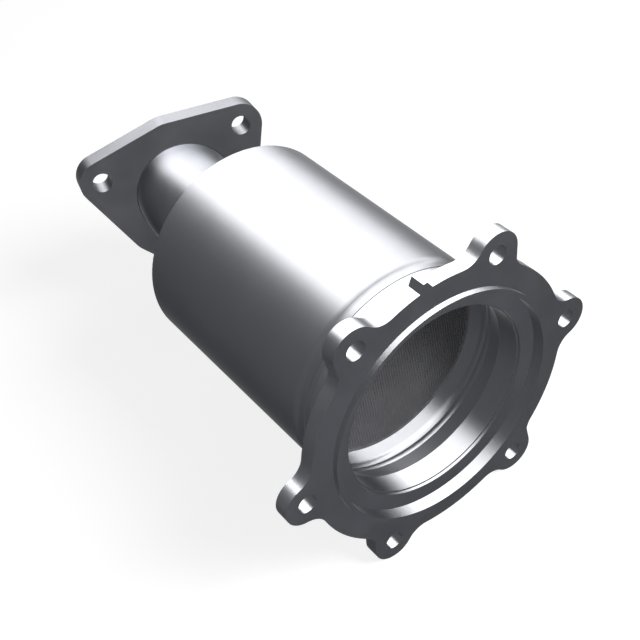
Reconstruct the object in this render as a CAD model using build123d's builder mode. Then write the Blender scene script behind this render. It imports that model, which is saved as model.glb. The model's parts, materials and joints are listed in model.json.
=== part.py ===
from build123d import *
from math import acos, atan2, cos, degrees, radians, sin, sqrt, tan
import os

# Catalytic converter, in millimetres.
# X is the can's axis and points out of the inlet. Z is up.
# The origin is the centre of the inlet flange's face, around which the gasket lip stands.

# Can
shell_radius = 50.0
shell_wall = 1.3
shell_rear_x = -140.0
shell_front_x = -25.1
swage_step = 0.8
swage_setback = 4.4
swage_length = 2.2
swage_bend = 5.0
rim_rounding = 0.5

# Inlet flange
flange_thickness = 6.6
inlet_bolt_circle = 67.1
lug_stand_out = 3.2
inlet_bolt_count = 6
inlet_hole_radius = 4.25
lug_radius = 9.85
lug_fillet = 9.5
flare_angle = 10.3
lip_radius = 53.9
lip_width = 2.05
lip_height = 2.45
recess_depth = 3.15
seat_web = 1.25
mouth_step = 0.85

# Index tab on top of the inlet flange
tab_base = 5.8
tab_top = 1.8
tab_height = 3.5
tab_offset = -0.4

# Inlet collar, whose spigot enters the shell
collar_bore = 43.55
collar_wall = 2.4
collar_step = 0.4
collar_cone_length = 8.2
spigot_length = 1.4
scarf_length = 3.7
scarf_edge = 0.3
scarf_hollow = 0.3

# Honeycomb brick and its mat
brick_setback = 9.9
brick_clearance = 15.0
mat_thickness = 3.3
mat_recess = 3.5

# Outlet cone and its bent neck
cone_wall = 1.5
cone_overlap = 10.0
cone_step = 0.3
cone_shoulder = 1.8
cone_angle = 60.0
cone_flare = 14.0
neck_radius = 24.9
neck_straight = 11.9
bend_angle = 18.4
bend_direction = -39.2
bend_radius = 60.0
neck_tail = 6.3

# Outlet flange
outlet_thickness = 12.0
outlet_bolt_circle = 42.8
outlet_bolt_count = 3
outlet_hole_radius = 4.8
outlet_tip_radius = 11.0
outlet_side_margin = 12.7
outlet_side_radius = 15.0
outlet_clocking = -2.1
neck_setback = 2.0

# Welds
flange_weld_leg = 4.0
rear_weld_leg = 1.4
outlet_weld_leg = 0.5
seat_weld_leg = 1.6

# Inlet end, worked out from the sizes above
flange_radius = inlet_bolt_circle - lug_stand_out
socket_radius = collar_bore + collar_wall
socket_start = recess_depth + seat_web
lip_inner = lip_radius - lip_width
mouth_radius = collar_bore + mouth_step
shell_inner = shell_radius - shell_wall
shell_front_radius = shell_radius - swage_step
spigot_radius = shell_front_radius - shell_wall
collar_radius = shell_front_radius - collar_step
collar_rear_x = shell_front_x - spigot_length
collar_cone_end = collar_rear_x + scarf_length
collar_tube_end = collar_cone_end + collar_cone_length
collar_cone_radius = collar_radius - collar_wall
cone_pitch = atan2(collar_cone_radius - collar_bore, collar_cone_length)
cone_shift = collar_wall * tan(cone_pitch / 2)
swage_front = shell_front_x - swage_setback + swage_length / 2
swage_rear = swage_front - swage_length
brick_radius = shell_inner - mat_thickness
brick_front_x = shell_front_x - brick_setback
brick_rear_x = shell_rear_x + brick_clearance
brick_length = brick_front_x - brick_rear_x

# Outlet end, worked out from the sizes above
cone_front_x = shell_rear_x + cone_overlap
cone_step_x = shell_rear_x - cone_step
cone_tilt = radians(cone_angle)
cone_drop = shell_inner - neck_radius - (cone_shoulder + cone_flare) * (1 - cos(cone_tilt))
cone_run = (cone_shoulder + cone_flare) * sin(cone_tilt) + cone_drop / tan(cone_tilt)
neck_start_x = cone_step_x - cone_run
bend_tangent = bend_radius * tan(radians(bend_angle) / 2)
neck_start = Vector(neck_start_x, 0, 0)
bend_point = Vector(neck_start_x - neck_straight - bend_tangent, 0, 0)
outlet_dir = Vector(
    -cos(radians(bend_angle)),
    sin(radians(bend_angle)) * cos(radians(bend_direction)),
    sin(radians(bend_angle)) * sin(radians(bend_direction)),
)
outlet_centre = bend_point + outlet_dir * (bend_tangent + neck_tail)
neck_end = outlet_centre + outlet_dir * (outlet_thickness - neck_setback)
outlet_down = Vector(0, 0, -1) - outlet_dir * Vector(0, 0, -1).dot(outlet_dir)
outlet_plane = Plane(origin=outlet_centre, x_dir=outlet_down, z_dir=outlet_dir)


def lug_centre(angle):
    """Middle of the inlet lug that stands at this angle."""
    return Vector(inlet_bolt_circle, 0).rotate(Axis.Z, angle)


def flare_corner(angle, side):
    """Sharp corner where a lug's straight side meets the fillet towards the body."""
    centre_reach = flange_radius + lug_fillet
    side_reach = lug_radius + lug_fillet
    along = (centre_reach**2 - side_reach**2 + inlet_bolt_circle**2) / (2 * inlet_bolt_circle)
    across = sqrt(centre_reach**2 - along**2)
    turn = radians(flare_angle)
    middle = across * sin(turn) + along * cos(turn)
    reach = middle - sqrt(middle**2 - centre_reach**2 + lug_fillet**2)
    return Vector(reach, 0).rotate(Axis.Z, angle + side * flare_angle)


def flare_tangent(angle, side):
    """Point where the straight side leaves the round end of its lug."""
    centre = lug_centre(angle)
    to_corner = flare_corner(angle, side) - centre
    heading = degrees(atan2(to_corner.Y, to_corner.X))
    swing = degrees(acos(lug_radius / to_corner.length))
    return centre + Vector(lug_radius, 0).rotate(Axis.Z, heading + side * -swing)


# Outline of the inlet flange: a disc with six lugs, their fillets and the index tab.
# The four lugs beside the level pair have one straight, flared side.
straight_sides = [(60, -1), (120, 1), (240, -1), (300, 1)]
with BuildSketch() as inlet_outline:
    Circle(flange_radius)
    with PolarLocations(inlet_bolt_circle, inlet_bolt_count):
        Circle(lug_radius)
    inner_corners = inlet_outline.vertices().filter_by(lambda v: v.center().length < inlet_bolt_circle)
    fillet(inner_corners, lug_fillet)
    for lug_angle, lug_side in straight_sides:
        with BuildLine():
            Polyline(
                lug_centre(lug_angle),
                flare_tangent(lug_angle, lug_side),
                flare_corner(lug_angle, lug_side),
                flare_corner(lug_angle, lug_side) * (lip_radius / flange_radius),
                close=True,
            )
        make_face()
    with BuildLine():
        Polyline(
            (tab_offset - tab_base / 2, flange_radius - tab_height),
            (tab_offset - tab_base / 2, flange_radius),
            (tab_offset - tab_top / 2, flange_radius + tab_height),
            (tab_offset + tab_top / 2, flange_radius + tab_height),
            (tab_offset + tab_base / 2, flange_radius),
            (tab_offset + tab_base / 2, flange_radius - tab_height),
            close=True,
        )
    make_face()

flange_face = Plane.YZ
with BuildPart() as inlet_flange:
    with BuildSketch(flange_face) as plate_sketch:
        add(inlet_outline.sketch)
        with PolarLocations(inlet_bolt_circle, inlet_bolt_count):
            Circle(inlet_hole_radius, mode=Mode.SUBTRACT)
    extrude(amount=-flange_thickness)
    with BuildSketch(flange_face) as lip_sketch:
        Circle(lip_radius)
    extrude(amount=lip_height)
    with BuildSketch(flange_face.offset(lip_height)) as recess_sketch:
        Circle(lip_inner)
    extrude(amount=-(lip_height + recess_depth), mode=Mode.SUBTRACT)
    with BuildSketch(flange_face) as mouth_sketch:
        Circle(mouth_radius)
    extrude(amount=-flange_thickness, mode=Mode.SUBTRACT)
    with BuildSketch(flange_face.offset(-flange_thickness)) as socket_sketch:
        Circle(socket_radius)
    extrude(amount=flange_thickness - socket_start, mode=Mode.SUBTRACT)
inlet_flange.part.label = "inlet_flange"

# Collar: a tube that widens to the shell, enters it with a short spigot and ends in a scarf.
with BuildPart() as inlet_collar:
    with BuildSketch(Plane.XZ) as collar_section:
        with BuildLine():
            Polyline(
                (collar_rear_x, spigot_radius - scarf_edge),
                (collar_rear_x, spigot_radius),
                (shell_front_x, spigot_radius),
                (shell_front_x, collar_radius),
                (collar_cone_end + cone_shift, collar_radius),
                (collar_tube_end + cone_shift, socket_radius),
                (-socket_start, socket_radius),
                (-socket_start, collar_bore),
                (collar_tube_end, collar_bore),
                (collar_cone_end, collar_cone_radius),
            )
            SagittaArc(
                (collar_cone_end, collar_cone_radius),
                (collar_rear_x, spigot_radius - scarf_edge),
                scarf_hollow,
            )
        make_face()
    revolve(axis=Axis.X)
inlet_collar.part.label = "inlet_collar"

# Shell: a rolled can whose front end is swaged down onto the collar.
with BuildPart() as shell:
    with BuildSketch(Plane.XZ) as shell_section:
        with BuildLine():
            FilletPolyline(
                (shell_rear_x, shell_radius),
                (swage_rear, shell_radius),
                (swage_front, shell_front_radius),
                (shell_front_x, shell_front_radius),
                radius=swage_bend,
            )
            Line((shell_front_x, shell_front_radius), (shell_front_x, spigot_radius))
            FilletPolyline(
                (shell_front_x, spigot_radius),
                (swage_front, spigot_radius),
                (swage_rear, shell_inner),
                (shell_rear_x, shell_inner),
                radius=swage_bend,
            )
            Line((shell_rear_x, shell_inner), (shell_rear_x, shell_radius))
        make_face()
    revolve(axis=Axis.X)
    rear_rim = shell.edges().filter_by(GeomType.CIRCLE).group_by(Axis.X)[0]
    fillet(rear_rim.sort_by(SortBy.RADIUS)[-1], rim_rounding)
shell.part.label = "shell"

with BuildPart() as substrate:
    with BuildSketch(Plane.YZ.offset(brick_rear_x)) as brick_sketch:
        Circle(brick_radius)
    extrude(amount=brick_length)
substrate.part.label = "substrate"

with BuildPart() as support_mat:
    with BuildSketch(Plane.YZ.offset(brick_rear_x + mat_recess)) as mat_sketch:
        Circle(shell_inner)
        Circle(brick_radius, mode=Mode.SUBTRACT)
    extrude(amount=brick_length - 2 * mat_recess)
support_mat.part.label = "support_mat"


def cone_section(inset):
    """Half section of the cone, this far under its surface, from its skirt to where its neck starts."""
    skirt = shell_inner - inset
    neck = neck_radius - inset
    shoulder = cone_shoulder - inset
    flare = cone_flare + inset
    shoulder_end = (cone_step_x - shoulder * sin(cone_tilt), skirt - shoulder * (1 - cos(cone_tilt)))
    flare_front = (neck_start_x + flare * sin(cone_tilt), neck + flare * (1 - cos(cone_tilt)))
    half = cone_tilt / 2
    with BuildSketch(Plane.XZ) as section:
        with BuildLine():
            Polyline(
                (neck_start_x, neck),
                (neck_start_x, 0),
                (cone_front_x, 0),
                (cone_front_x, skirt),
                (cone_step_x, skirt),
            )
            ThreePointArc(
                (cone_step_x, skirt),
                (cone_step_x - shoulder * sin(half), skirt - shoulder * (1 - cos(half))),
                shoulder_end,
            )
            Line(shoulder_end, flare_front)
            ThreePointArc(
                flare_front,
                (neck_start_x + flare * sin(half), neck + flare * (1 - cos(half))),
                (neck_start_x, neck),
            )
        make_face()
    return section.sketch


# Outlet cone: pressed from sheet, with its neck bent towards the outlet flange.
with BuildPart() as outlet_cone:
    with BuildLine() as neck_path:
        FilletPolyline(neck_start, bend_point, neck_end, radius=bend_radius)
    with BuildSketch(Plane(origin=neck_start, z_dir=(-1, 0, 0))) as neck_circle:
        Circle(neck_radius)
    sweep(path=neck_path.line)
    revolve(cone_section(0), axis=Axis.X)
    revolve(cone_section(cone_wall), axis=Axis.X, mode=Mode.SUBTRACT)
    with BuildSketch(Plane(origin=neck_start, z_dir=(-1, 0, 0))) as bore_circle:
        Circle(neck_radius - cone_wall)
    sweep(path=neck_path.line, mode=Mode.SUBTRACT)
outlet_cone.part.label = "outlet_cone"

# Outlet flange: the hull of three bolt corners and three bulged sides, bored for the neck.
with BuildPart() as outlet_flange:
    with BuildSketch(outlet_plane) as outlet_outline:
        with PolarLocations(outlet_bolt_circle, outlet_bolt_count, outlet_clocking):
            Circle(outlet_tip_radius)
        side_place = neck_radius + outlet_side_margin - outlet_side_radius
        side_turn = outlet_clocking + 180 / outlet_bolt_count
        with PolarLocations(side_place, outlet_bolt_count, side_turn):
            Circle(outlet_side_radius)
        make_hull()
        with PolarLocations(outlet_bolt_circle, outlet_bolt_count, outlet_clocking):
            Circle(outlet_hole_radius, mode=Mode.SUBTRACT)
        Circle(neck_radius, mode=Mode.SUBTRACT)
    extrude(amount=outlet_thickness)
outlet_flange.part.label = "outlet_flange"


def weld_ring(plane, radius, leg_out, leg_along):
    """Ring of weld in the corner between a tube of this radius and the plane it meets."""
    with BuildPart() as ring:
        with BuildSketch(Plane(origin=plane.origin, x_dir=plane.x_dir, z_dir=-plane.y_dir)) as bead:
            with BuildLine():
                Polyline((radius, 0), (radius + leg_out, 0), (radius, leg_along), close=True)
            make_face()
        revolve(axis=Axis(plane.origin, plane.z_dir))
    return ring.part


# Welds behind the inlet flange, at the can's rear edge and on both sides of the outlet flange
inlet_flange_weld = weld_ring(
    Plane.YZ.offset(-flange_thickness), socket_radius, flange_weld_leg, -flange_weld_leg
)
inlet_flange_weld.label = "inlet_flange_weld"

seam_radius = shell_radius - rim_rounding
with BuildPart() as rear_seam_weld:
    with BuildSketch(Plane.XZ) as seam_section:
        with BuildLine():
            Polyline(
                (shell_rear_x, seam_radius),
                (shell_rear_x, seam_radius - rear_weld_leg),
                (shell_rear_x - rear_weld_leg, seam_radius - rear_weld_leg),
                close=True,
            )
        make_face()
    revolve(axis=Axis.X)
    revolve(cone_section(0), axis=Axis.X, mode=Mode.SUBTRACT)
rear_seam_weld.part.label = "rear_seam_weld"

outlet_flange_weld = weld_ring(outlet_plane, neck_radius, outlet_weld_leg, -outlet_weld_leg)
outlet_flange_weld.label = "outlet_flange_weld"

outlet_seat_weld = weld_ring(
    outlet_plane.offset(outlet_thickness - neck_setback), neck_radius, -cone_wall, seat_weld_leg
)
outlet_seat_weld.label = "outlet_seat_weld"

pieces = [
    inlet_flange.part,
    inlet_collar.part,
    inlet_flange_weld,
    shell.part,
    substrate.part,
    support_mat.part,
    outlet_cone.part,
    rear_seam_weld.part,
    outlet_flange.part,
    outlet_flange_weld,
    outlet_seat_weld,
]
os.makedirs("parts", exist_ok=True)
for piece in pieces:
    export_step(piece, f"parts/{piece.label}.step")
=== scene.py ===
import json
import math

import bmesh
import bpy
from mathutils import Matrix, Vector


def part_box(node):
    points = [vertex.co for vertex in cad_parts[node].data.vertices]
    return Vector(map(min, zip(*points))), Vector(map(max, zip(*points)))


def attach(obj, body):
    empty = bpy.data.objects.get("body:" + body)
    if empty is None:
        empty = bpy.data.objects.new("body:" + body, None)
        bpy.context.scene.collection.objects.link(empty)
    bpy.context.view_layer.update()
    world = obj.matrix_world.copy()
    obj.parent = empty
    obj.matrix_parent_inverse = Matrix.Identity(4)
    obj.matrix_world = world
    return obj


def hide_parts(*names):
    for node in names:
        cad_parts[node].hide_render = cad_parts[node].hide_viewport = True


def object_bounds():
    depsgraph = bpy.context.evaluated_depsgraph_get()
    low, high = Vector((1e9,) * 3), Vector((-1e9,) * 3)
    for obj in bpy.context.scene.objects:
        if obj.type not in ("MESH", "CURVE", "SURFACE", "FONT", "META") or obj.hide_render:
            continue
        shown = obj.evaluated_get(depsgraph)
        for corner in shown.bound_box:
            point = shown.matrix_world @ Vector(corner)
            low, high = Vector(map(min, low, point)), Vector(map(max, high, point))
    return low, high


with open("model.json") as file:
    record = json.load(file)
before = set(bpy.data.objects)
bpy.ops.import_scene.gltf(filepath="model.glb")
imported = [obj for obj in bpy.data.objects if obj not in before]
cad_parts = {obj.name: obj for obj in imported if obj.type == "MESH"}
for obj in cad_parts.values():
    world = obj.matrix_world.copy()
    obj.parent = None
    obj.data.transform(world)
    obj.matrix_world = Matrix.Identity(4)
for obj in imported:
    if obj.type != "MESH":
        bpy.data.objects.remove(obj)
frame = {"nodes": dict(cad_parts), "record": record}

# Catalytic converter, in metres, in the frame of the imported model.
# X is the can's axis and points out of the inlet. Z is up.
MM = 0.001
MICRON = 0.000001
cad_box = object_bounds()
nodes = frame["nodes"]
mounts = {mount["name"]: mount for mount in frame["record"]["mounts"]}

# Camera of the photograph: a square frame, seen from above the inlet
CAMERA_PLACE = Vector((0.24318, -0.17340, 0.35035))
CAMERA_AIM = Vector((-0.6324, 0.3351, -0.6984))
CAMERA_UP = Vector((0.0, 0.1994, 0.9799))
CAMERA_LENS = 65.53
CAMERA_SENSOR = 36.0
CAMERA_NEAR = 0.01

# Background and floor: what they give as light, and how bright they look
WHITE = (1, 1, 1, 1)
STUDIO_LIGHT = 0.075
STUDIO_SEEN = 1.0
FLOOR_REACH = 3
FLOOR_GREY = (0.3, 0.3, 0.3, 1)
FLOOR_ROUGHNESS = 0.9
FLOOR_SEEN = 0.82

# Lamps stand round the middle of the can. Gloss panels are a little warmer than the steel,
# and stand on arcs, this many degrees apart.
LAMP_AIM = Vector((-0.09, 0, 0))
LAMP_REACH = 1.3
PANEL_LIGHT = (1.0, 0.978, 0.908)
ARC_PANELS = 5
ARC_STEP = 20

# Greys of the bare steel: flange plates, can with cone, welds, and turned or bored walls
PLATE_GREY = (0.068, 0.0702, 0.0785)
CAN_GREY = (0.062, 0.064, 0.0715)
WELD_GREY = (0.032, 0.033, 0.037)
CUT_GREY = CAN_GREY

# How light the surface gets where it is seen at a grazing angle
EDGE_TINT = (0.42, 0.42, 0.42, 1)
CONE_EDGE_TINT = (0.36, 0.36, 0.36, 1)

# Radii that reach past the gasket lip, the collar's tube and the inside of the can
LIP_REACH = 57.0 * MM
TUBE_REACH = 47.6 * MM
CAN_INSIDE_REACH = 48.8 * MM

# Honeycomb of the brick: about sixty cells to the square centimetre, with thin walls
CELL_PITCH = 1.27 * MM
CELL_WALL = 0.20 * MM
CELL_DEPTH = 3.0 * MM
CELL_HALF = (CELL_PITCH - CELL_WALL) / 2
BRICK_RIM = 0.9 * MM
BRICK_SIDES = 192
SAME_PLACE = 1e-7

# Greys of the ceramic: least and most at the face, and a painted shade deep in the cells, where
# the open channels go dark. The shade begins and is full at these depths.
FACE_GREYS = ((0.130, 0.132, 0.143), (0.155, 0.157, 0.170))
PAINTED_SHADE_GREY = (0.09, 0.091, 0.099)
LIT_DEPTH = 0.05 * MM
FULL_SHADE_DEPTH = 0.8 * CELL_DEPTH

# Browns of the mat's fibres
MAT_BROWNS = ((0.30, 0.28, 0.24), (0.60, 0.57, 0.50))

# Weld beads: facets across, rings to one scale, how far the crown drags a scale behind its
# edges in shares of the scale, and the height of crown and scales in shares of the leg
BEAD_FACETS = 7
SCALE_RINGS = 6
SCALE_DRAG = 0.45
CROWN_HEIGHT = 0.13
SCALE_HEIGHT = 0.07
INLET_SCALE = 1.6 * MM
SEAM_SCALE = 1.2 * MM
SEAT_SCALE = 1.3 * MM

# Seat of the neck in the outlet flange, along and out from that flange's own axis
SEAT_CORNER = (-2.0 * MM, 24.9 * MM)
SEAT_LEGS = (1.6 * MM, -1.5 * MM)

# Sockets of a Mix node that blend colours, which share their names with others
COLOUR_INPUTS = (6, 7)
COLOUR_RESULT = 2


def place_camera():
    """Stand the camera where the photograph was taken from."""
    data = bpy.data.cameras.new("photo_camera")
    data.lens = CAMERA_LENS
    data.sensor_width = CAMERA_SENSOR
    data.clip_start = CAMERA_NEAR
    camera = bpy.data.objects.new("photo_camera", data)
    back = -CAMERA_AIM.normalized()
    right = CAMERA_UP.cross(back).normalized()
    up = back.cross(right)
    turn = Matrix((right, up, back)).transposed()
    camera.matrix_world = Matrix.Translation(CAMERA_PLACE) @ turn.to_4x4()
    bpy.context.scene.collection.objects.link(camera)
    bpy.context.scene.camera = camera


def soft_lamp(name, toward, size, watts, gloss_only, long_side=(0, 1, 0)):
    """Area lamp that stands this way from the can, its first side along the given line."""
    data = bpy.data.lights.new(name, "AREA")
    data.shape = "RECTANGLE"
    data.size, data.size_y = size
    data.energy = watts
    if gloss_only:
        data.color = PANEL_LIGHT
    lamp = bpy.data.objects.new(name, data)
    back = Vector(toward).normalized()
    side = Vector(long_side)
    side = (side - back * side.dot(back)).normalized()
    turn = Matrix((side, back.cross(side), back)).transposed()
    place = LAMP_AIM + back * LAMP_REACH
    lamp.matrix_world = Matrix.Translation(place) @ turn.to_4x4()
    lamp.visible_diffuse = not gloss_only
    lamp.visible_glossy = gloss_only
    bpy.context.scene.collection.objects.link(lamp)
    return lamp


def curved_softbox(name, pieces, centre, rise, size, watts):
    """Gloss panels on an arc round the can's axis, which light these pieces alone."""
    lit_pieces = bpy.data.collections.new(f"{name}_pieces")
    for piece in pieces:
        lit_pieces.objects.link(shown_for[piece])
    rise = math.radians(rise)
    for index in range(ARC_PANELS):
        turn = math.radians(centre + ARC_STEP * (index - ARC_PANELS // 2))
        across, upward = math.cos(turn), math.sin(turn)
        toward = (-math.cos(rise), math.sin(rise) * across, math.sin(rise) * upward)
        round_x = (0, -upward, across)
        panel = soft_lamp(f"{name}_{index + 1}", toward, size, watts, True, round_x)
        panel.light_linking.receiver_collection = lit_pieces


def feed(tree, value, socket):
    """Link an output to this socket, or write a plain value on it."""
    if isinstance(value, bpy.types.NodeSocket):
        tree.links.new(value, socket)
    else:
        socket.default_value = value


def maths(tree, operation, *values):
    """Output of one Math node."""
    node = tree.nodes.new("ShaderNodeMath")
    node.operation = operation
    for value, socket in zip(values, node.inputs):
        feed(tree, value, socket)
    return node.outputs[0]


def ramp_between(tree, value, low, high):
    """Smooth step from zero at low to one at high."""
    node = tree.nodes.new("ShaderNodeMapRange")
    node.interpolation_type = "SMOOTHSTEP"
    feed(tree, value, node.inputs["Value"])
    feed(tree, low, node.inputs["From Min"])
    feed(tree, high, node.inputs["From Max"])
    return node.outputs[0]


def seen_white(tree, as_light, as_seen):
    """Strength of one value as light, and another for what camera, gloss and glass see."""
    path = tree.nodes.new("ShaderNodeLightPath")
    seen = maths(tree, "MAXIMUM", path.outputs["Is Camera Ray"], path.outputs["Is Glossy Ray"])
    seen = maths(tree, "MAXIMUM", seen, path.outputs["Is Transmission Ray"])
    strength = tree.nodes.new("ShaderNodeMapRange")
    strength.inputs["To Min"].default_value = as_light
    strength.inputs["To Max"].default_value = as_seen
    tree.links.new(seen, strength.inputs["Value"])
    return strength.outputs[0]


def white_studio():
    """White background, dimmer as a lamp than it looks."""
    world = bpy.data.worlds.new("studio")
    world.use_nodes = True
    tree = world.node_tree
    tree.nodes.clear()
    background = tree.nodes.new("ShaderNodeBackground")
    background.inputs["Color"].default_value = WHITE
    output = tree.nodes.new("ShaderNodeOutputWorld")
    strength = seen_white(tree, STUDIO_LIGHT, STUDIO_SEEN)
    tree.links.new(strength, background.inputs["Strength"])
    tree.links.new(background.outputs[0], output.inputs[0])
    bpy.context.scene.world = world


def white_floor():
    """Wide pale floor at the lowest point of the flanges, which keeps a soft shadow."""
    low = cad_box[0][2]
    work = bmesh.new()
    for x, y in ((-1, -1), (1, -1), (1, 1), (-1, 1)):
        work.verts.new((x * FLOOR_REACH, y * FLOOR_REACH, low))
    work.faces.new(work.verts)
    mesh = bpy.data.meshes.new("floor")
    work.to_mesh(mesh)
    work.free()
    floor = bpy.data.objects.new("floor", mesh)
    bpy.context.scene.collection.objects.link(floor)
    material = bpy.data.materials.new("floor_white")
    material.use_nodes = True
    tree = material.node_tree
    shader = tree.nodes["Principled BSDF"]
    shader.inputs["Base Color"].default_value = FLOOR_GREY
    shader.inputs["Roughness"].default_value = FLOOR_ROUGHNESS
    shader.inputs["Emission Color"].default_value = WHITE
    tree.links.new(seen_white(tree, 0.0, FLOOR_SEEN), shader.inputs["Emission Strength"])
    mesh.materials.append(material)


def begin_effect(name, inputs, outputs):
    """Empty effect with named sockets: its group, its start node and its end node."""
    group = bpy.data.node_groups.new(name, "ShaderNodeTree")
    for label, kind, value in inputs:
        socket = group.interface.new_socket(name=label, in_out="INPUT", socket_type=kind)
        if value is not None:
            socket.default_value = value
    for label in outputs:
        group.interface.new_socket(name=label, in_out="OUTPUT", socket_type="NodeSocketFloat")
    return group, group.nodes.new("NodeGroupInput"), group.nodes.new("NodeGroupOutput")


def distance_from_axis(tree, vector):
    """Distance from the X axis, and the vector's three parts."""
    parts = tree.nodes.new("ShaderNodeSeparateXYZ")
    tree.links.new(vector, parts.inputs[0])
    y, z = parts.outputs["Y"], parts.outputs["Z"]
    square = maths(tree, "ADD", maths(tree, "MULTIPLY", y, y), maths(tree, "MULTIPLY", z, z))
    return maths(tree, "SQRT", square), parts


def make_turned_lines():
    """Fine lines that run round the axis, as a lathe or rolls leave them."""
    group, start, end = begin_effect(
        "turned_lines",
        [
            ("Vector", "NodeSocketVector", None),
            ("Lines Per Metre", "NodeSocketFloat", 2500.0),
            ("Turns Apart", "NodeSocketFloat", 1.2),
        ],
        ["Lines"],
    )
    reach, parts = distance_from_axis(group, start.outputs["Vector"])
    dense = start.outputs["Lines Per Metre"]
    apart = start.outputs["Turns Apart"]
    across = maths(group, "DIVIDE", parts.outputs["Y"], reach)
    upward = maths(group, "DIVIDE", parts.outputs["Z"], reach)
    place = group.nodes.new("ShaderNodeCombineXYZ")
    group.links.new(maths(group, "MULTIPLY", parts.outputs["X"], dense), place.inputs["X"])
    group.links.new(maths(group, "MULTIPLY", reach, dense), place.inputs["Y"])
    group.links.new(maths(group, "MULTIPLY", across, apart), place.inputs["Z"])
    noise = group.nodes.new("ShaderNodeTexNoise")
    noise.noise_dimensions = "4D"
    noise.inputs["Scale"].default_value = 1.0
    noise.inputs["Detail"].default_value = 2.0
    group.links.new(place.outputs[0], noise.inputs["Vector"])
    group.links.new(maths(group, "MULTIPLY", upward, apart), noise.inputs["W"])
    group.links.new(noise.outputs["Fac"], end.inputs["Lines"])
    return group


def make_steel_cloud():
    """Soft blotches, as handling and heat leave on bare steel."""
    group, start, end = begin_effect(
        "steel_cloud",
        [("Vector", "NodeSocketVector", None), ("Scale", "NodeSocketFloat", 40.0)],
        ["Cloud"],
    )
    clear, full = 0.3, 0.7
    noise = group.nodes.new("ShaderNodeTexNoise")
    noise.inputs["Detail"].default_value = 4.0
    noise.inputs["Roughness"].default_value = 0.6
    group.links.new(start.outputs["Vector"], noise.inputs["Vector"])
    group.links.new(start.outputs["Scale"], noise.inputs["Scale"])
    group.links.new(ramp_between(group, noise.outputs["Fac"], clear, full), end.inputs["Cloud"])
    return group


def make_forged_skin():
    """Close grain of a forged or cast face, with a few shallow pits."""
    group, start, end = begin_effect(
        "forged_skin",
        [("Vector", "NodeSocketVector", None), ("Scale", "NodeSocketFloat", 900.0)],
        ["Height"],
    )
    pits_per_grain, pit_floor, pit_rim, pit_share = 0.4, 0.05, 0.35, 0.5
    grain = group.nodes.new("ShaderNodeTexNoise")
    grain.inputs["Detail"].default_value = 3.0
    group.links.new(start.outputs["Vector"], grain.inputs["Vector"])
    group.links.new(start.outputs["Scale"], grain.inputs["Scale"])
    pits = group.nodes.new("ShaderNodeTexVoronoi")
    pit_scale = maths(group, "MULTIPLY", start.outputs["Scale"], pits_per_grain)
    group.links.new(start.outputs["Vector"], pits.inputs["Vector"])
    group.links.new(pit_scale, pits.inputs["Scale"])
    rim = ramp_between(group, pits.outputs["Distance"], pit_floor, pit_rim)
    height = maths(group, "MULTIPLY_ADD", rim, pit_share, grain.outputs["Fac"])
    group.links.new(height, end.inputs["Height"])
    return group


def make_bore_walls():
    """Mask of the round walls along the axis that lie within a radius."""
    group, start, end = begin_effect(
        "bore_walls",
        [
            ("Vector", "NodeSocketVector", None),
            ("Normal", "NodeSocketVector", None),
            ("Within", "NodeSocketFloat", LIP_REACH),
        ],
        ["Mask"],
    )
    full_slope, no_slope = 0.12, 0.5
    reach = distance_from_axis(group, start.outputs["Vector"])[0]
    facing = group.nodes.new("ShaderNodeSeparateXYZ")
    group.links.new(start.outputs["Normal"], facing.inputs[0])
    along = maths(group, "ABSOLUTE", facing.outputs["X"])
    wall = maths(group, "SUBTRACT", 1.0, ramp_between(group, along, full_slope, no_slope))
    inside = maths(group, "LESS_THAN", reach, start.outputs["Within"])
    group.links.new(maths(group, "MULTIPLY", wall, inside), end.inputs["Mask"])
    return group


turned_lines = make_turned_lines()
steel_cloud = make_steel_cloud()
forged_skin = make_forged_skin()
bore_walls = make_bore_walls()


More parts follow.
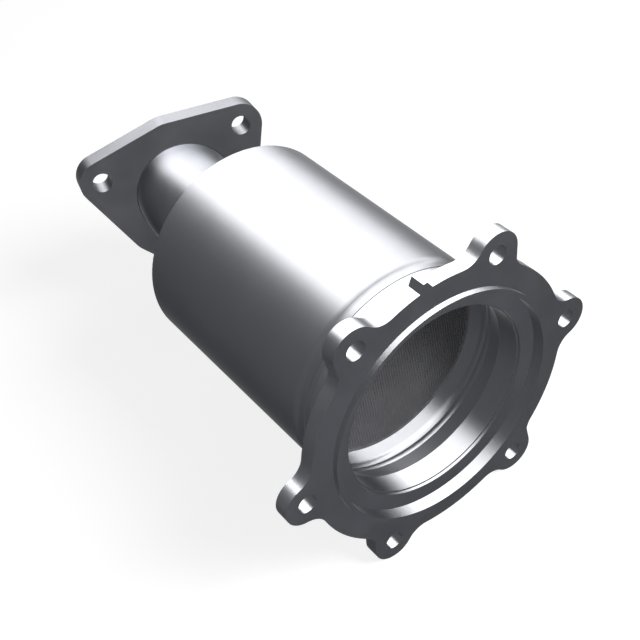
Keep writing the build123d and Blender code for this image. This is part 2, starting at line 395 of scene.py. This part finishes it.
class Finish:
    """One material on its way: its tree, its shader, and the vectors that effects follow."""

    def __init__(self, name):
        self.material = bpy.data.materials.new(name)
        self.material.use_nodes = True
        self.tree = self.material.node_tree
        self.shader = self.tree.nodes["Principled BSDF"]
        self.shader.inputs["Specular Tint"].default_value = EDGE_TINT
        self.vector = self.tree.nodes.new("ShaderNodeTexCoord").outputs["Object"]
        self.normal = self.tree.nodes.new("ShaderNodeNewGeometry").outputs["Normal"]

    def stand_on(self, place, axis):
        """Let effects follow a frame that stands at this place with X along this axis."""
        mapping = self.tree.nodes.new("ShaderNodeMapping")
        mapping.vector_type = "TEXTURE"
        mapping.inputs["Location"].default_value = place
        turn = Vector((1, 0, 0)).rotation_difference(axis).to_euler()
        mapping.inputs["Rotation"].default_value = turn
        self.tree.links.new(self.vector, mapping.inputs["Vector"])
        self.vector = mapping.outputs[0]

    def effect(self, group, **values):
        """Output of a shared effect, placed here with these values."""
        node = self.tree.nodes.new("ShaderNodeGroup")
        node.node_tree = group
        self.tree.links.new(self.vector, node.inputs["Vector"])
        if "Normal" in node.inputs:
            self.tree.links.new(self.normal, node.inputs["Normal"])
        for label, value in values.items():
            feed(self.tree, value, node.inputs[label.replace("_", " ").title()])
        return node.outputs[0]

    def blend(self, share, low, high):
        """Value that goes from low to high with this share."""
        node = self.tree.nodes.new("ShaderNodeMix")
        feed(self.tree, share, node.inputs["Factor"])
        feed(self.tree, low, node.inputs["A"])
        feed(self.tree, high, node.inputs["B"])
        return node.outputs["Result"]

    def tone(self, share, low, high):
        """Colour that goes from low to high with this share."""
        node = self.tree.nodes.new("ShaderNodeMix")
        node.data_type = "RGBA"
        feed(self.tree, share, node.inputs["Factor"])
        for colour, place in zip((low, high), COLOUR_INPUTS):
            if not isinstance(colour, bpy.types.NodeSocket):
                colour = (*colour, 1)
            feed(self.tree, colour, node.inputs[place])
        return node.outputs[COLOUR_RESULT]

    def mottle(self, share, colour, darkest, lightest):
        """One colour, from darkest to lightest times as light with this share."""
        low = tuple(part * darkest for part in colour)
        high = tuple(part * lightest for part in colour)
        return self.tone(share, low, high)

    def colour(self, value):
        """Give the shader its base colour."""
        feed(self.tree, value, self.shader.inputs["Base Color"])

    def set(self, label, value):
        """Give the shader's socket with this label its value."""
        feed(self.tree, value, self.shader.inputs[label])

    def bump(self, height, deep, after=None):
        """Relief of this depth in metres, over another relief where one is given."""
        node = self.tree.nodes.new("ShaderNodeBump")
        node.inputs["Distance"].default_value = deep
        self.tree.links.new(height, node.inputs["Height"])
        if after is not None:
            self.tree.links.new(after, node.inputs["Normal"])
        return node.outputs[0]


def forged_flange_steel():
    """Inlet flange: forged skin, with turned lines on the round walls of lip and bores."""
    finish = Finish("forged_flange_steel")
    cloud = finish.effect(steel_cloud, scale=45.0)
    skin = finish.effect(forged_skin, scale=1100.0)
    lines = finish.effect(turned_lines, lines_per_metre=3500.0)
    cut = finish.effect(bore_walls, within=LIP_REACH)
    bare = finish.mottle(cloud, PLATE_GREY, 0.93, 1.07)
    turned = finish.mottle(lines, CUT_GREY, 0.95, 1.05)
    finish.colour(finish.tone(cut, bare, turned))
    finish.set("Metallic", 1.0)
    finish.set("Roughness", finish.blend(cut, finish.blend(cloud, 0.34, 0.40), 0.39))
    rough = finish.bump(skin, 20 * MICRON)
    finish.set("Normal", finish.bump(lines, 10 * MICRON, rough))
    return finish.material


def turned_collar_steel():
    """Inlet collar: turned all over, with an even gloss on its round walls."""
    finish = Finish("turned_collar_steel")
    cloud = finish.effect(steel_cloud, scale=35.0)
    lines = finish.effect(turned_lines, lines_per_metre=3000.0)
    cut = finish.effect(bore_walls, within=TUBE_REACH)
    bare = finish.mottle(cloud, CAN_GREY, 0.94, 1.06)
    turned = finish.mottle(lines, CUT_GREY, 0.95, 1.05)
    finish.colour(finish.tone(cut, bare, turned))
    finish.set("Metallic", 1.0)
    finish.set("Roughness", finish.blend(cut, finish.blend(lines, 0.34, 0.42), 0.39))
    finish.set("Normal", finish.bump(lines, 12 * MICRON))
    return finish.material


def rolled_can_steel():
    """Can: sheet rolled round the axis, with faint lines and clouds, and plain inside."""
    finish = Finish("rolled_can_steel")
    cloud = finish.effect(steel_cloud, scale=22.0)
    lines = finish.effect(turned_lines, lines_per_metre=1800.0, turns_apart=1.6)
    inside = finish.effect(bore_walls, within=CAN_INSIDE_REACH)
    bare = finish.mottle(cloud, CAN_GREY, 0.93, 1.07)
    bare = finish.tone(lines, bare, CAN_GREY)
    finish.colour(finish.tone(inside, bare, CUT_GREY))
    finish.set("Metallic", 1.0)
    finish.set("Roughness", finish.blend(inside, finish.blend(lines, 0.35, 0.41), 0.38))
    finish.set("Normal", finish.bump(lines, 4 * MICRON))
    return finish.material


def pressed_cone_steel():
    """Outlet cone and its neck: pressed sheet, smooth, with soft clouds."""
    finish = Finish("pressed_cone_steel")
    cloud = finish.effect(steel_cloud, scale=30.0)
    skin = finish.effect(forged_skin, scale=700.0)
    finish.colour(finish.mottle(cloud, CAN_GREY, 0.92, 1.06))
    finish.set("Metallic", 1.0)
    finish.set("Specular Tint", CONE_EDGE_TINT)
    finish.set("Roughness", finish.blend(cloud, 0.33, 0.39))
    finish.set("Normal", finish.bump(skin, 5 * MICRON))
    return finish.material


def cut_plate_steel():
    """Outlet flange: thick plate, clouded, with its grain in the frame of its own axis."""
    bolts = mounts["outlet_bolts"]
    finish = Finish("cut_plate_steel")
    finish.stand_on(Vector(bolts["pos_m"]), Vector(bolts["axis"]))
    cloud = finish.effect(steel_cloud, scale=45.0)
    skin = finish.effect(forged_skin, scale=1000.0)
    finish.colour(finish.mottle(cloud, PLATE_GREY, 0.72, 0.84))
    finish.set("Metallic", 1.0)
    finish.set("Roughness", finish.blend(cloud, 0.35, 0.41))
    finish.set("Normal", finish.bump(skin, 10 * MICRON))
    return finish.material


def weld_steel():
    """Weld beads: dull steel with a close grain."""
    finish = Finish("weld_steel")
    cloud = finish.effect(steel_cloud, scale=160.0)
    skin = finish.effect(forged_skin, scale=1600.0)
    finish.colour(finish.mottle(cloud, WELD_GREY, 0.8, 1.15))
    finish.set("Metallic", 1.0)
    finish.set("Roughness", finish.blend(cloud, 0.38, 0.48))
    finish.set("Normal", finish.bump(skin, 15 * MICRON))
    return finish.material


def brick_ceramic():
    """Ceramic of the honeycomb, with a painted shade that darkens it the deeper its cells go.
    """
    finish = Finish("brick_ceramic")
    cloud = finish.effect(steel_cloud, scale=60.0)
    grain = finish.effect(forged_skin, scale=2500.0)
    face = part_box("substrate")[1][0]
    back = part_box("substrate")[0][0]
    parts = finish.tree.nodes.new("ShaderNodeSeparateXYZ")
    finish.tree.links.new(finish.vector, parts.inputs[0])
    x = parts.outputs["X"]
    # Painted shade: cell walls and bottoms go to a dark grey with depth, as if the channels ran
    # on into shade.
    front_unshaded = ramp_between(finish.tree, x, face - FULL_SHADE_DEPTH, face - LIT_DEPTH)
    rear_unshaded = ramp_between(finish.tree, x, back + FULL_SHADE_DEPTH, back + LIT_DEPTH)
    unshaded_share = maths(finish.tree, "MAXIMUM", front_unshaded, rear_unshaded)
    finish.colour(finish.tone(unshaded_share, PAINTED_SHADE_GREY, finish.tone(cloud, *FACE_GREYS)))
    finish.set("Roughness", 0.85)
    finish.set("Normal", finish.bump(grain, 10 * MICRON))
    return finish.material


def mat_fibre():
    """Fibres of the swelling mat, flecked with mica."""
    finish = Finish("mat_fibre")
    cloud = finish.effect(steel_cloud, scale=700.0)
    fibres = finish.effect(turned_lines, lines_per_metre=4500.0, turns_apart=25.0)
    finish.colour(finish.tone(cloud, *MAT_BROWNS))
    finish.set("Roughness", 0.95)
    finish.set("Normal", finish.bump(fibres, 150 * MICRON))
    return finish.material


def is_open(column, row, radius):
    """Whether the whole cell lies inside the rim of a brick with this radius."""
    y = abs(column) * CELL_PITCH + CELL_HALF
    z = abs(row) * CELL_PITCH + CELL_HALF
    return math.hypot(y, z) < radius - BRICK_RIM


def open_cells(work, radius, face, sink):
    """Cells of one end: their walls and bottoms, and the ribs between their mouths."""
    reach = int(radius / CELL_PITCH) + 1
    corners = {}

    def corner(column, row, side_y, side_z):
        """Corner of a cell's mouth, made once."""
        key = (column, row, side_y, side_z)
        if key not in corners:
            y = column * CELL_PITCH + side_y * CELL_HALF
            z = row * CELL_PITCH + side_z * CELL_HALF
            corners[key] = work.verts.new((face, y, z))
        return corners[key]

    cells = [
        (column, row)
        for column in range(-reach, reach + 1)
        for row in range(-reach, reach + 1)
        if is_open(column, row, radius)
    ]
    for column, row in cells:
        mouth = [corner(column, row, *side) for side in ((-1, -1), (1, -1), (1, 1), (-1, 1))]
        # Each cell ends in a bottom where the real channel runs on. The ceramic paints that
        # bottom dark as shade.
        bottom = [work.verts.new((face + sink, vert.co.y, vert.co.z)) for vert in mouth]
        for index in range(4):
            after = (index + 1) % 4
            work.faces.new((mouth[index], mouth[after], bottom[after], bottom[index]))
        work.faces.new(bottom)
        open_beside = is_open(column + 1, row, radius)
        open_above = is_open(column, row + 1, radius)
        if open_beside:
            right = [corner(column + 1, row, -1, -1), corner(column + 1, row, -1, 1)]
            work.faces.new((mouth[1], right[0], right[1], mouth[2]))
        if open_above:
            above = [corner(column, row + 1, -1, -1), corner(column, row + 1, 1, -1)]
            work.faces.new((mouth[3], mouth[2], above[1], above[0]))
        if open_beside and open_above and is_open(column + 1, row + 1, radius):
            crossing = corner(column + 1, row + 1, -1, -1)
            work.faces.new((mouth[2], right[1], crossing, above[1]))


def on_face(edge, x):
    """Whether both ends of an edge lie in the plane at this x."""
    return all(abs(vert.co.x - x) < SAME_PLACE for vert in edge.verts)


def brick_end(work, radius, face, sink):
    """One end of the brick, closed from its cells to its rim. Gives the rim's corners."""
    open_cells(work, radius, face, sink)
    circle = []
    for index in range(BRICK_SIDES):
        turn = 2 * math.pi * index / BRICK_SIDES
        circle.append(work.verts.new((face, radius * math.cos(turn), radius * math.sin(turn))))
    rim = [work.edges.new((circle[i], circle[i - 1])) for i in range(BRICK_SIDES)]
    jagged = [edge for edge in work.edges if len(edge.link_faces) == 1 and on_face(edge, face)]
    bmesh.ops.triangle_fill(work, use_beauty=True, edges=rim + jagged)
    return circle


def piece_of(work, name, material):
    """Object of this mesh, its faces turned outwards, kept out of the gloss of others."""
    bmesh.ops.recalc_face_normals(work, faces=work.faces)
    mesh = bpy.data.meshes.new(name)
    work.to_mesh(mesh)
    work.free()
    mesh.materials.append(material)
    piece = bpy.data.objects.new(name, mesh)
    piece.visible_glossy = False
    bpy.context.scene.collection.objects.link(piece)
    return piece


def honeycomb_brick(material):
    """Brick with its open square cells at both ends and a closed skin round them."""
    low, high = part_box("substrate")
    radius = (high[1] - low[1]) / 2
    work = bmesh.new()
    front = brick_end(work, radius, high[0], -CELL_DEPTH)
    rear = brick_end(work, radius, low[0], CELL_DEPTH)
    for index in range(BRICK_SIDES):
        work.faces.new((front[index], front[index - 1], rear[index - 1], rear[index]))
    brick = piece_of(work, "honeycomb", material)
    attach(brick, "root")
    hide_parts("substrate")


def weld_bead(name, node, material, corner, legs, pitch, stand=Matrix.Identity(4)):
    """Ring of weld with overlapping scales, in a corner at this x and radius of its frame."""
    x, radius = corner
    along, out = legs
    rounds = round(2 * math.pi * radius / pitch) * SCALE_RINGS
    lean = Vector((along, out)).normalized()
    leg = min(abs(along), abs(out))
    work = bmesh.new()
    rings = []
    for index in range(rounds):
        turn = 2 * math.pi * index / rounds
        across, upward = math.cos(turn), math.sin(turn)
        ring = []
        for place in range(BEAD_FACETS + 1):
            share = place / BEAD_FACETS
            crown = 4 * share * (1 - share)
            behind = (index / SCALE_RINGS + SCALE_DRAG * crown) % 1.0
            proud = crown * leg * (CROWN_HEIGHT + SCALE_HEIGHT * (1 - behind * behind))
            point_x = x + along * (1 - share) + lean[0] * proud
            point_r = radius + out * share + lean[1] * proud
            ring.append(work.verts.new((point_x, point_r * across, point_r * upward)))
        ring.append(work.verts.new((x, radius * across, radius * upward)))
        rings.append(ring)
    for index, ring in enumerate(rings):
        before = rings[index - 1]
        for place in range(len(ring)):
            work.faces.new((ring[place], ring[place - 1], before[place - 1], before[place]))
    bead = piece_of(work, name, material)
    bead.data.transform(stand)
    bead.data.polygons.foreach_set("use_smooth", [True] * len(bead.data.polygons))
    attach(bead, "root")
    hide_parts(node)
    shown_for[node] = bead


def dress(name, material):
    """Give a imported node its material, and keep it out of the gloss of others."""
    for item in nodes[name].material_slots:
        item.material = material
    nodes[name].visible_glossy = False


place_camera()
white_studio()
white_floor()

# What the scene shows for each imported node, where the beads take the place of theirs
shown_for = dict(nodes)
dress("inlet_flange", forged_flange_steel())
dress("inlet_collar", turned_collar_steel())
dress("shell", rolled_can_steel())
dress("outlet_cone", pressed_cone_steel())
dress("outlet_flange", cut_plate_steel())
dress("support_mat", mat_fibre())
honeycomb_brick(brick_ceramic())

bead_steel = weld_steel()
dress("outlet_flange_weld", bead_steel)
for bead, node, pitch in (
    ("inlet_bead", "inlet_flange_weld", INLET_SCALE),
    ("seam_bead", "rear_seam_weld", SEAM_SCALE),
):
    low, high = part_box(node)
    leg = high[0] - low[0]
    weld_bead(bead, node, bead_steel, (high[0], high[1] - leg), (-leg, leg), pitch)
outlet_axis = Vector(mounts["outlet_bolts"]["axis"])
outlet_stand = Matrix.Translation(mounts["outlet_bolts"]["pos_m"]) @ (
    Vector((1, 0, 0)).rotation_difference(outlet_axis).to_matrix().to_4x4()
)
weld_bead(
    "seat_bead",
    "outlet_seat_weld",
    bead_steel,
    SEAT_CORNER,
    SEAT_LEGS,
    SEAT_SCALE,
    outlet_stand,
)

# The front lamp lights floor and brick, the panels only make gloss. An arc's centre and rise
# are degrees round the can's axis and away from its rear end.
soft_lamp("front_lamp", (0.62, 0.42, 0.66), size=(0.6, 0.6), watts=20, gloss_only=False)
soft_lamp("rear_view_panel", (0.72, -0.2, 0.66), size=(1.3, 0.6), watts=34, gloss_only=True)
curved_softbox(
    "inlet_arc",
    ["inlet_flange", "inlet_collar"],
    centre=62,
    rise=72,
    size=(0.43, 1.4),
    watts=52,
)
curved_softbox(
    "can_arc",
    ["shell", "rear_seam_weld", "inlet_flange_weld"],
    centre=57,
    rise=54,
    size=(0.28, 2.0),
    watts=48,
)
curved_softbox(
    "outlet_plate_arc",
    ["outlet_flange"],
    centre=50,
    rise=44,
    size=(0.32, 1.4),
    watts=23,
)
curved_softbox(
    "cone_arc",
    ["outlet_cone", "outlet_flange_weld", "outlet_seat_weld"],
    centre=53,
    rise=52,
    size=(0.34, 2.0),
    watts=38,
)

bpy.context.scene.view_settings.view_transform = "Standard"
